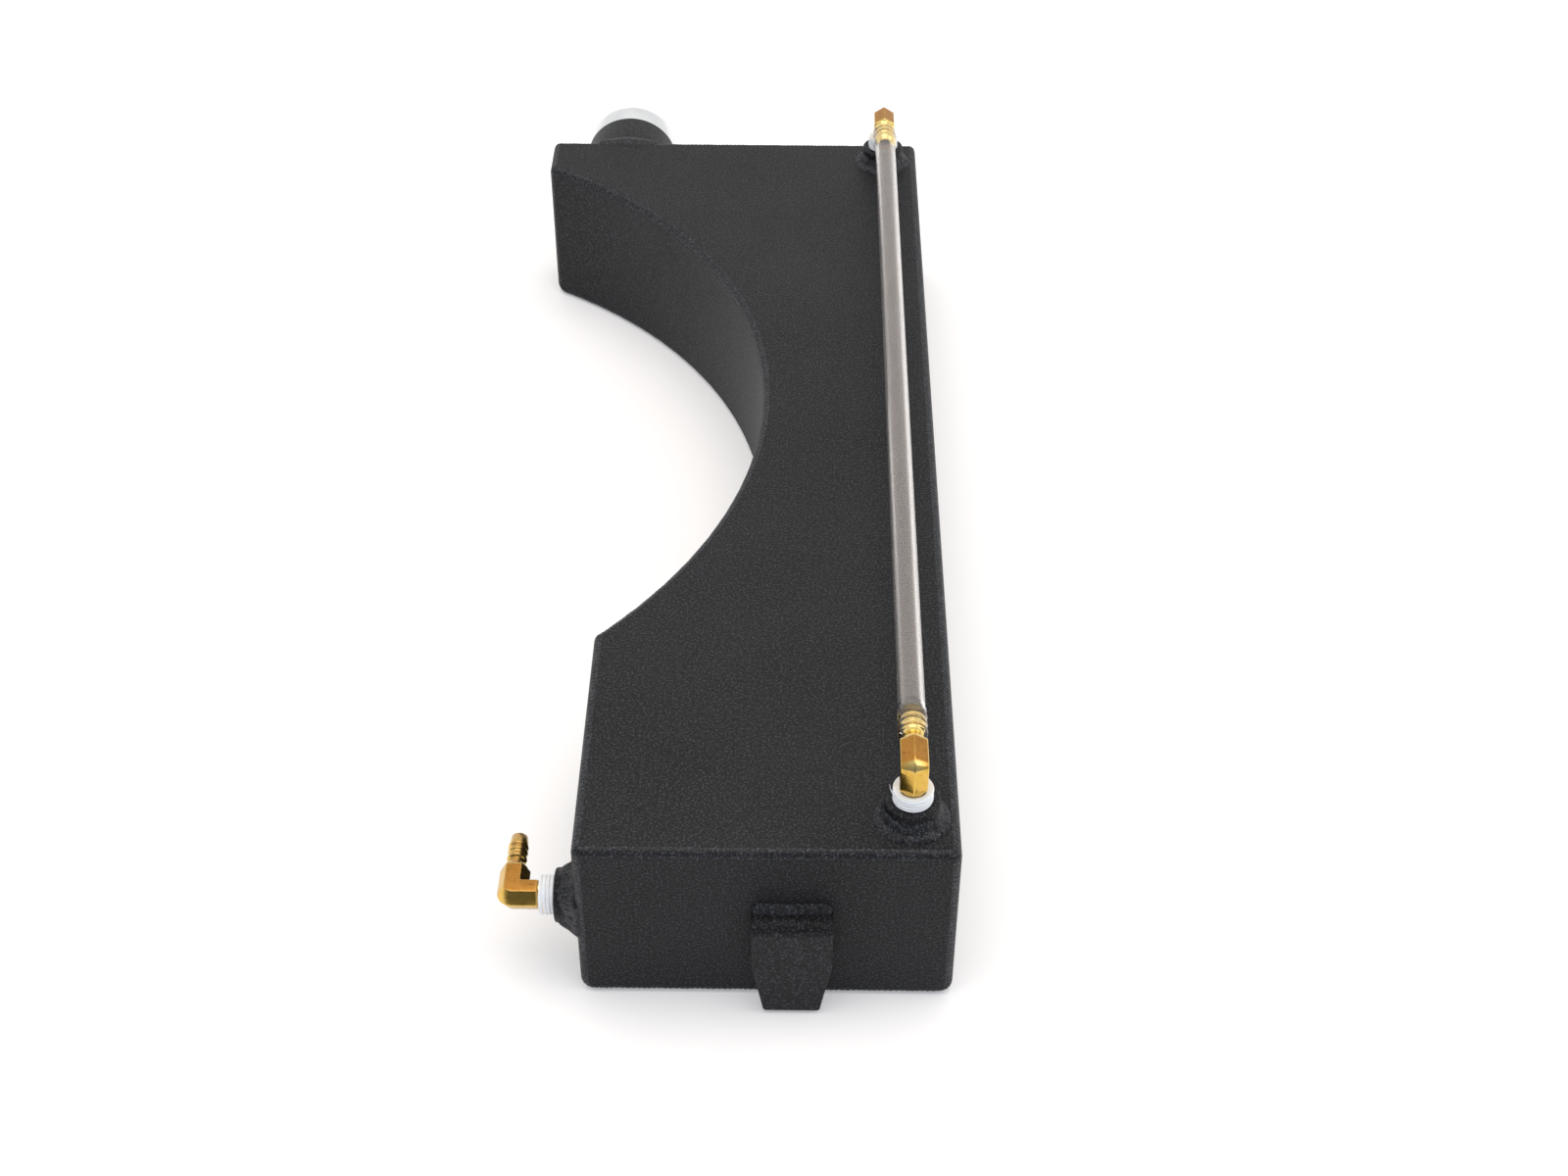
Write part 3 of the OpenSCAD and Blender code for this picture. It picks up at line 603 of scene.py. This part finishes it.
def thread(radius, depth, low, high, around=120, samples=110):
    """Radius of a thread for each turn angle and height, cut by depth below or above the radius.

    u counts turns: the height over the pitch less the share of a turn. The cut is the depth times
    |2 frac(u) - 1| with its crest clipped flat, and it runs out over a pitch at both ends.
    """
    phi = np.arange(around)[:, None] / around
    h = np.linspace(low, high, samples)[None, :]
    wave = np.abs(2 * np.mod(h / THREAD_PITCH - phi, 1.0) - 1)
    run_out = np.clip(np.minimum(h - low, high - h) / THREAD_PITCH, 0, 1)
    cut = depth * np.clip(1.15 * wave - 0.1, 0, 1) * run_out
    return np.stack([radius + cut, np.broadcast_to(h, cut.shape)], axis=2)


def lathe_lines(before, threaded, after):
    """One outline per turn angle: plain corners, the threaded stretch, then plain corners."""
    around = len(threaded)
    spread = lambda pts: np.broadcast_to(np.array(pts, float), (around, len(pts), 2))
    return np.concatenate([spread(before), threaded, spread(after)], axis=1)


seat = NECK_L - 2.2
neck_lines = lathe_lines([[NECK_R, 0.0], [17.6, 0.0]], thread(17.6, 0.95, 0.3, seat - 0.3),
                         [[17.6, seat], [20.08, seat], [20.08, NECK_L - 0.25], [20.33, NECK_L],
                          [NECK_R - 0.8, NECK_L], [NECK_R - 0.3, NECK_L - 0.2], [NECK_R, NECK_L - 0.8]])
piece("threaded_neck", [(turned(neck_lines, NECK_AXIS, 120), True, True, 0.0)], coat,
      ["filler_neck"], crisp=32)


def neck_bead():
    """The ring bead of the neck. Over the tank's front edge it is thinner and its crest is a low
    arch: a point's distance from the axis is kept under (22.8 - 3 sin(a)^2)/cos(a), where a is its
    angle from the top. From there a skirt slopes down in 2.4 mm to the face, at 21.7/cos(a)."""
    origin, ax, ay, az = [np.array(v, float) for v in NECK_AXIS]
    n = int(2 * math.pi * (NECK_R + NECK_LEG) / STEP)
    a = (np.arange(n) / n * 2 * math.pi)[:, None]
    facing = np.cos(a) * ax + np.sin(a) * ay
    up = np.maximum(facing[:, 2], 1e-3)
    leg = np.clip((22.8 - 3 * facing[:, 0] ** 2) / up - NECK_R, 0.35, NECK_LEG)
    skin = bead(origin + NECK_R * facing, facing, az, NECK_LEG, 2.3, 0.4, 0.4, True, 6.0)[0][:, 1:]
    away = ((skin - origin) * facing[:, None]).sum(2) - NECK_R
    high = (skin - origin) @ az
    away = np.minimum(away, leg[:, None] * away / NECK_LEG + 0.02)
    reach = np.minimum(NECK_R + leg, 21.7 / up)
    skin = origin + (NECK_R + away)[..., None] * facing[:, None] + high[..., None] * az
    crest = NECK_R + leg
    skirt = [origin + (far - 0.05 - q)[:, None] * facing - d * az
             for far, q, d in ((crest, 0.0, 0.0), (reach, 0.0, 2.4), (reach, 0.55, 2.9))]
    inner = origin + (np.minimum(NECK_R, reach[:, None]) - 0.6) * facing + 0.5 * az
    return np.concatenate([inner[:, None], skirt[2][:, None], skirt[1][:, None], skirt[0][:, None], skin],
                          axis=1), True, True, 0.0


piece("neck_ring_bead", [neck_bead()], coat_on_weld_painted_lighter, ["neck_weld"], crisp=60)

# %% [markdown]
# ## Polished aluminium and rubber
# The cap is turned from bar and left bare. Turning leaves fine rings round its axis, so the metal
# is given a bump that rises and falls with the distance from the axis and along it. The O-ring
# is moulded rubber: dark, dull, and a little dusty.

# %% Turned aluminium
metal, tree = empty_material("turned_aluminium")
where = add(tree, "Mapping", {"Vector": add(tree, "TexCoord").outputs["Object"],
                              "Location": (-NECK_X / 1000, 0, -NECK_Z / 1000)})
axes = add(tree, "SeparateXYZ", {"Vector": where.outputs[0]})
flat = add(tree, "CombineXYZ", {"X": axes.outputs[0], "Y": axes.outputs[2]})
from_axis = add(tree, "VectorMath", {0: flat.outputs[0]}, operation="LENGTH")
tool_path = add(tree, "Math", {0: from_axis.outputs["Value"], 1: axes.outputs[1]}, operation="ADD")
# A real tool mark is about 0.1 mm wide. It is drawn 0.5 mm wide, which is as fine as shows.
marks = add(tree, "TexNoise", {"W": add(tree, "Math", {0: tool_path.outputs[0], 1: per_mm(0.5)},
                                        operation="MULTIPLY").outputs[0], "Scale": 1.0, "Detail": 2.0},
            noise_dimensions="1D")
smudge = add(tree, "TexNoise", {"Vector": where.outputs[0], "Scale": per_mm(9.0), "Detail": 3.0})
tint = add(tree, "Mix", {0: smudge.outputs[0], 6: linear("#d3d4d6"), 7: linear("#eceded")},
           data_type="RGBA")
gloss = add(tree, "MapRange", {"Value": smudge.outputs[0], "From Min": 0.3, "From Max": 0.7,
                               "To Min": 0.2, "To Max": 0.34})
lift = add(tree, "Bump", {"Height": marks.outputs[0], "Strength": 0.35, "Distance": 0.00006})
skin = add(tree, "BsdfPrincipled", {"Base Color": tint.outputs[2], "Metallic": 1.0,
                                    "Roughness": gloss.outputs[0], "Normal": lift.outputs[0]})
add(tree, "OutputMaterial", {"Surface": skin.outputs[0]})

# %% Moulded rubber
rubber, tree = empty_material("moulded_rubber")
where = add(tree, "TexCoord").outputs["Object"]
dust = add(tree, "TexNoise", {"Vector": where, "Scale": per_mm(2.5), "Detail": 4.0})
tint = add(tree, "Mix", {0: dust.outputs[0], 6: linear("#141414"), 7: linear("#2c2c2b")},
           data_type="RGBA")
gloss = add(tree, "MapRange", {"Value": dust.outputs[0], "To Min": 0.5, "To Max": 0.75})
lift = add(tree, "Bump", {"Height": dust.outputs[0], "Strength": 0.2, "Distance": 0.0001})
skin = add(tree, "BsdfPrincipled", {"Base Color": tint.outputs[2], "Roughness": gloss.outputs[0],
                                    "IOR": 1.52, "Normal": lift.outputs[0]})
add(tree, "OutputMaterial", {"Surface": skin.outputs[0]})
nodes["cap_seal"].data.materials[0] = rubber

# %% Screw cap
flange, top, plug = NECK_L + 0.3, NECK_L + 12.9, NECK_L - 11.7
cap_lines = lathe_lines(
    [[0.0, plug], [15.6, plug], [16.4, plug + 0.2]], thread(17.5, -0.95, plug + 0.3, flange - 2.6),
    [[17.5, flange - 2.4], [17.5, flange], [20.9, flange], [21.25, flange + 0.15], [21.4, flange + 0.5],
     [21.4, top - 1.2], [21.3, top - 0.75], [21.0, top - 0.35], [20.6, top - 0.1], [20.1, top],
     [16.6, top], [16.3, top - 0.5], [15.7, top - 0.5], [15.4, top], [0.0, top]])
piece("screw_cap", [(turned(cap_lines, NECK_AXIS, 120).transpose(1, 0, 2), False, True, 0.0)],
      metal, ["filler_cap"], body="cap", crisp=32)

# %% [markdown]
# ## Forged brass elbows
# Each elbow is forged to a hexagonal bar bent square, then its ends are turned: a taper thread
# for the bung and three barbs for the hose. The flats keep a dull orange forging skin while the
# edges and the turned end are bright. The bend is one surface: every line along the bar turns the
# corner on its own arc, wide outside and almost sharp inside, as a die leaves it.

# %% Brass
brass, tree = empty_material("forged_brass")
where = add(tree, "TexCoord").outputs["Object"]
# The polish attribute is 1 on rubbed edges and turned ends, and also on a painted highlight across the
# outside of each bend.
bright = add(tree, "Attribute", attribute_name="polish_and_highlight")
skin_noise = add(tree, "TexNoise", {"Vector": where, "Scale": per_mm(3.2), "Detail": 4.0})
spots = add(tree, "TexNoise", {"Vector": where, "Scale": per_mm(1.5), "Detail": 2.0})
spot = add(tree, "MapRange", {"Value": spots.outputs[0], "From Min": 0.58, "From Max": 0.72})
# The flats that face up are painted a darker, browner tint: painted shade that dims the top lamp's
# reflection in them.
upward = add(tree, "SeparateXYZ", {"Vector": add(tree, "NewGeometry").outputs["Normal"]})
skyward = add(tree, "MapRange", {"Value": upward.outputs[2], "From Min": 0.55, "From Max": 0.8})
upper_flat_painted_shade = add(tree, "Mix", {0: skin_noise.outputs[0], 6: linear("#a06d30"), 7: linear("#bd8840")},
              data_type="RGBA")
side_flat_tint = add(tree, "Mix", {0: skin_noise.outputs[0], 6: linear("#c59c42"), 7: linear("#dfb85c")},
            data_type="RGBA")
flat_tint = add(tree, "Mix", {0: skyward.outputs[0], 6: side_flat_tint.outputs[2], 7: upper_flat_painted_shade.outputs[2]},
                data_type="RGBA")
spotted = add(tree, "Mix", {0: add(tree, "Math", {0: spot.outputs[0], 1: 0.45}, operation="MULTIPLY")
                            .outputs[0], 6: flat_tint.outputs[2], 7: linear("#6e4524")},
              data_type="RGBA")
tint = add(tree, "Mix", {0: bright.outputs["Fac"], 6: spotted.outputs[2], 7: linear("#f0d486")},
           data_type="RGBA")
dull = add(tree, "MapRange", {"Value": skin_noise.outputs[0], "From Min": 0.3, "From Max": 0.7,
                              "To Min": 0.26, "To Max": 0.38})
rubbed = add(tree, "MapRange", {"Value": skyward.outputs[0], "To Min": 0.55, "To Max": 1.0})
dull = add(tree, "Math", {0: dull.outputs[0], 1: rubbed.outputs[0]}, operation="MULTIPLY")
gloss = add(tree, "Mix", {0: bright.outputs["Fac"], 2: dull.outputs[0], 3: 0.17}, data_type="FLOAT")
lift = add(tree, "Bump", {"Height": spots.outputs[0], "Strength": 0.25, "Distance": 0.0001})
skin = add(tree, "BsdfPrincipled", {"Base Color": tint.outputs[2], "Metallic": 1.0,
                                    "Roughness": gloss.outputs[0], "Normal": lift.outputs[0]})
add(tree, "OutputMaterial", {"Surface": skin.outputs[0]})

# %% Elbow body and hose end
ELBOW_R, ELBOW_ARM, HOSE_START, HOSE_L = 9.5 / math.sqrt(3), 11.0, 14.2, 12.6


def hexagon(rounding):
    """A hexagon with rounded corners, one corner towards the inside of the bend, and its polish."""
    across = np.radians(np.linspace(-30, 30, 5))
    corner = np.radians(np.arange(6) * 60)[:, None]
    middle = ELBOW_R - rounding / math.cos(math.radians(30))
    q = middle * np.cos(corner) + rounding * np.cos(corner + across)
    w = middle * np.sin(corner) + rounding * np.sin(corner + across)
    fold = np.where(np.arange(6) % 3 == 0, 0.15, 0.7)[:, None]
    shine = fold * np.array([0.0, 1.0, 1.0, 1.0, 0.0])
    return q.ravel(), w.ravel(), shine.ravel()


def bent_bar(rounding=0.6):
    """A hexagonal bar that comes up one arm, turns a square corner and goes out along the other.

    A line of the bar at the inside distance q turns on an arc of radius max(-q, 0) + 0.45 that
    touches both arms, so the outside is a wide round and the inside nearly sharp. At both ends the
    section shrinks by 0.75 mm, as a chamfer.
    """
    q, w, shine = hexagon(rounding)
    rho = np.maximum(-q, 0) + 0.45
    chamfer = np.array([0.75, 0.3, 0.0, 0.0])[:, None]
    shrunk = 1 - chamfer / ELBOW_R
    foot = -ELBOW_REACH + np.array([0.0, 0.3, 0.85, 1.2])[:, None]
    low = np.stack([q * shrunk, w * shrunk, np.broadcast_to(foot, (4, len(q)))], 2)
    t = np.radians(np.linspace(0, 90, 17))[:, None]
    corner = np.stack([q + rho - rho * np.cos(t), np.broadcast_to(w, (17, len(q))),
                       -q - rho + rho * np.sin(t)], 2)
    out = np.stack([np.broadcast_to(ELBOW_ARM - np.array([1.4, 0.5, 0.12, 0.0])[:, None], (4, len(q))),
                    w * shrunk[::-1], -q * shrunk[::-1]], 2)
    ends = np.array([1.0, 1.0, 1.0, 0.0])[:, None]
    # This stripe across the outside of the bend is a painted highlight: it lifts the colour to the bright
    # polish tint where the lamp's reflection falls.
    painted_bend_highlight = np.clip(8 * np.sin(t) ** 2 * np.cos(t) ** 2 - 0.6, 0, 1) * (q < -3.5)
    polish_and_highlight = np.concatenate([np.maximum(shine, share) for share in (ends, painted_bend_highlight, ends[::-1])])
    return np.concatenate([low, corner, out]), polish_and_highlight


def hose_end():
    """Outline of the turned hose end: a cone, three saw-tooth barbs, the bore and its bottom."""
    line = [[0.0, 8.0], [4.7, 8.0], [4.7, ELBOW_ARM], [4.55, ELBOW_ARM + 0.25], [2.9, HOSE_START]]
    for root, way in ((2.9, 1.5), (3.1, 4.7), (3.1, 7.2)):
        z = HOSE_START + way
        line += [[root, z - 0.35], [3.2, z - 0.12], [3.48, z + 0.1], [3.6, z + 0.4], [3.54, z + 0.75]]
    tip = HOSE_START + HOSE_L
    return np.array(line + [[2.95, tip - 0.2], [2.75, tip], [2.3, tip], [2.2, tip - 0.15], [2.2, 9.0],
                            [0.0, 9.0]])


for number, (pattern, axis, way) in enumerate(FITTINGS):
    origin, ax, ay, az = [np.array(v, float) for v in axis]
    centre, hose = origin + ELBOW_STAND * az, way * ay
    # The outlet has browned in the open air, its edges too. Under the hose the barbs stay bright.
    shine, worn = (0.9, 1.0) if number > 0 else (0.3, 0.35)
    wide = np.cross(az, hose)
    body, polish_and_highlight = bent_bar()
    bar = centre + body[..., :1] * hose + body[..., 1:2] * wide + body[..., 2:] * az
    barbs = turned(hose_end(), (centre, wide, az, hose), 64).transpose(1, 0, 2)
    stub_line = np.array([[0.0, 4.0], [3.6, 4.0], [3.6, 22.1], [THREAD_R - 0.3, 22.1],
                          [THREAD_R, 21.7], [THREAD_R, 11.3], [THREAD_R - 0.3, 11.0], [4.5, 10.8],
                          [4.5, 9.0], [0.0, 9.0]])
    stub = turned(stub_line, (centre, wide, hose, -az), 48).transpose(1, 0, 2)
    solids = [(bar, False, True, worn * polish_and_highlight), (barbs, False, True, shine), (stub, False, True, 1.0)]
    piece(pattern.format("elbow") + ".forged", solids, brass, [pattern.format("elbow")],
          crisp=40)

# %% [markdown]
# ## Thread tape
# White tape is stretched and wound round each thread before it is screwed in, and the last turns
# stand out as a ribbed ring. The ribs climb like a screw, so the ring is a lathe outline whose
# grooves slide along the axis as they go round, with an end that is torn rather than cut.

# %% Tape
tape_white, tree = empty_material("thread_seal_tape")
where = add(tree, "TexCoord").outputs["Object"]
fibre = add(tree, "TexNoise", {"Vector": where, "Scale": per_mm(0.9), "Detail": 3.0})
tint = add(tree, "Mix", {0: fibre.outputs[0], 6: linear("#f0f0ee"), 7: linear("#ffffff")},
           data_type="RGBA")
gloss = add(tree, "MapRange", {"Value": fibre.outputs[0], "To Min": 0.45, "To Max": 0.7})
lift = add(tree, "Bump", {"Height": fibre.outputs[0], "Strength": 0.3, "Distance": 0.0001})
skin = add(tree, "BsdfPrincipled", {"Base Color": tint.outputs[2], "Roughness": gloss.outputs[0],
                                    "IOR": 1.36, "Subsurface Weight": 0.1, "Normal": lift.outputs[0]})
add(tree, "OutputMaterial", {"Surface": skin.outputs[0]})


TAPE_R, TAPE_TURN = 7.04, 1.37


def wound_tape(seed):
    """Outlines of a wound ring: the radius is 7.04 less 0.55 (1 - |sin(pi u)|)^1.8 and a slow wave.

    u counts turns of tape: the height over the turn's width less the share of a turn.
    """
    phi = np.arange(144)[:, None] / 144
    h = np.linspace(0.0, 1.0, 44)[None, :]
    torn = 0.1 + 0.1 * (1 + np.sin(2 * math.pi * 5 * phi + seed) * np.sin(2 * math.pi * 2 * phi))
    height = 0.1 + h * (TAPE_L - 0.1 - torn)
    u = height / TAPE_TURN - phi
    r = TAPE_R - 0.55 * (1 - np.abs(np.sin(math.pi * u))) ** 1.8 \
        - 0.05 * (1 + np.sin(2 * math.pi * (3 * phi + height / 3.1) + seed))
    soft = np.clip(np.minimum(h, 1 - h) * 12, 0, 1)
    r = 6.75 + (r - 6.75) * np.sqrt(1 - (1 - soft) ** 2)
    outer = np.stack([r, height], axis=2)
    inner = np.stack([np.broadcast_to([4.75, 4.75, 6.66, 6.66], (144, 4)),
                      height[:, [-1, -1, -1, 0]] - [0.45, 0.9, 2.6, 0.0]], axis=2)
    return np.concatenate([outer, inner], axis=1)


def curl():
    """A torn end of tape: a flat ribbon on a curve that lifts off the ring and turns back."""
    t = np.linspace(0, 1, 26)[:, None]
    a = np.radians(203 - 26 * t)
    r = 6.85 + 1.9 * t - 0.7 * t ** 2
    origin = np.array(GAUGE_AXES[0][0]) + [0, 0, BUNG_H]
    path = origin + np.concatenate([r * np.cos(a), r * np.sin(a), 4.5 + 1.9 * t ** 2], axis=1)
    wide = 0.32 * (1 - 0.7 * t) * np.array([0.35, 0.2, 1.0])
    thin = 0.07 * np.array([0.3, -1.0, 0.1])
    return np.stack([path + wide, path + thin, path - wide, path - thin], axis=1)


for number, (pattern, axis, way) in enumerate(FITTINGS):
    origin, ax, ay, az = [np.array(v, float) for v in axis]
    grids = [(turned(wound_tape(2.1 * number), (origin + BUNG_H * az, ax, ay, az), 144), True, True, 0.0)]
    if number == 1:
        grids.append((curl(), False, True, 0.0))
    piece(pattern.format("tape") + ".wound", grids, tape_white, [pattern.format("tape")],
          crisp=50)

# %% [markdown]
# ## The clear hose
# The gauge is a length of soft clear hose. It is pushed over the barbs, which stretch it, so it
# swells a little at each crest and shrinks between them. Soft hose is never as clear as glass, so
# the material lets most light through and scatters the rest. Its bore, away from the barbs, is
# hazy and painted a warm grey: the grey stripe down its middle over the black tank is partly that
# haze and partly a painted reflection of the lamp above.

# %% Hose
hose, tree = empty_material("clear_soft_hose")
where = add(tree, "TexCoord").outputs["Object"]
streak = add(tree, "TexNoise", {"Vector": add(tree, "Mapping", {
    "Vector": where, "Scale": (1, 0.03, 1)}).outputs[0], "Scale": per_mm(1.6), "Detail": 2.0})
tint = add(tree, "Mix", {0: streak.outputs[0], 6: linear("#f3f1ee"), 7: linear("#fefefd")},
           data_type="RGBA")
gloss = add(tree, "MapRange", {"Value": streak.outputs[0], "To Min": 0.0, "To Max": 0.04})
skin = add(tree, "BsdfPrincipled", {"Base Color": tint.outputs[2], "Roughness": gloss.outputs[0],
                                    "IOR": 1.45, "Transmission Weight": 0.985})
add(tree, "OutputMaterial", {"Surface": skin.outputs[0]})

# %% The bore of the hose: hazy, with a painted reflection in its grey
bore_haze_and_reflection, tree = empty_material("hazy_bore_painted_reflection")
where = add(tree, "TexCoord").outputs["Object"]
cloud = add(tree, "TexNoise", {"Vector": where, "Scale": per_mm(14.0), "Detail": 2.0})
tint = add(tree, "Mix", {0: cloud.outputs[0], 6: linear("#beb3af"), 7: linear("#cbc3bf")},
           data_type="RGBA")
gloss = add(tree, "MapRange", {"Value": cloud.outputs[0], "To Min": 0.1, "To Max": 0.2})
skin = add(tree, "BsdfPrincipled", {"Base Color": tint.outputs[2], "Roughness": gloss.outputs[0],
                                    "IOR": 1.45, "Transmission Weight": 0.72})
add(tree, "OutputMaterial", {"Surface": skin.outputs[0]})


# The bore is the part within BORE_R of the axis. Between the two heights of the last pair it is hazy and
# painted a warm grey, partly a painted reflection of the lamp above.
HOSE_R, HOSE_SEAT, BORE_R, BORE_GREY_SPAN = 4.75, 0.2, 3.9, (16, 397)


def hose_line():
    """Outline of the hose, along the distance d from an end.

    Its outside swells from the plain radius by 0.25 to 0.42 mm times a step that fades out past
    the barbs, with a small wave that peaks near each crest. Over the barbs its inside grips the
    metal, with no air between, so the brass shows clear.
    """
    length = GAUGE_UP_Y - GAUGE_LOW_Y - 2 * (HOSE_START + HOSE_SEAT)
    d = np.concatenate([np.linspace(0, 18, 70), np.linspace(18, length / 2, 14)[1:]])
    fade = 1 / (1 + np.exp((d - 13.2) / 0.8))
    wave = 0.5 + 0.5 * np.cos(2 * math.pi * (d - 1.5) / 3.7)
    outer = HOSE_R + fade * (0.25 + 0.17 * wave)
    outer[0] -= 0.2
    inner = np.clip(2.8 + 0.5 * (d - 12.4), 2.8, 3.2)
    along = np.concatenate([d, length - d[::-1][1:]])
    both = np.stack([np.concatenate([outer, outer[::-1][1:]]), along], axis=1)
    bore = np.stack([np.concatenate([inner, inner[::-1][1:]]), along], axis=1)
    return np.concatenate([both, bore[::-1]])


hose_axis = ((GAUGE_X, GAUGE_LOW_Y + HOSE_START + HOSE_SEAT, TANK_T + ELBOW_STAND), (1, 0, 0), (0, 0, -1),
             (0, 1, 0))
tube = piece("gauge_hose", [(turned(hose_line(), hose_axis, 64), True, True, 0.0)], hose,
             ["sight_tube"], crisp=50)
tube.data.materials.append(bore_haze_and_reflection)
middle = np.empty(len(tube.data.polygons) * 3)
tube.data.polygons.foreach_get("center", middle)
middle = middle.reshape(-1, 3) * 1000 - hose_axis[0]
from_axis, along = np.hypot(middle[:, 0], middle[:, 2]), middle[:, 1]
painted_grey = (from_axis < BORE_R) & (along > BORE_GREY_SPAN[0]) & (along < BORE_GREY_SPAN[1])
tube.data.polygons.foreach_set("material_index", painted_grey.astype(np.int32))
print("faces of dulled bore:", int(painted_grey.sum()))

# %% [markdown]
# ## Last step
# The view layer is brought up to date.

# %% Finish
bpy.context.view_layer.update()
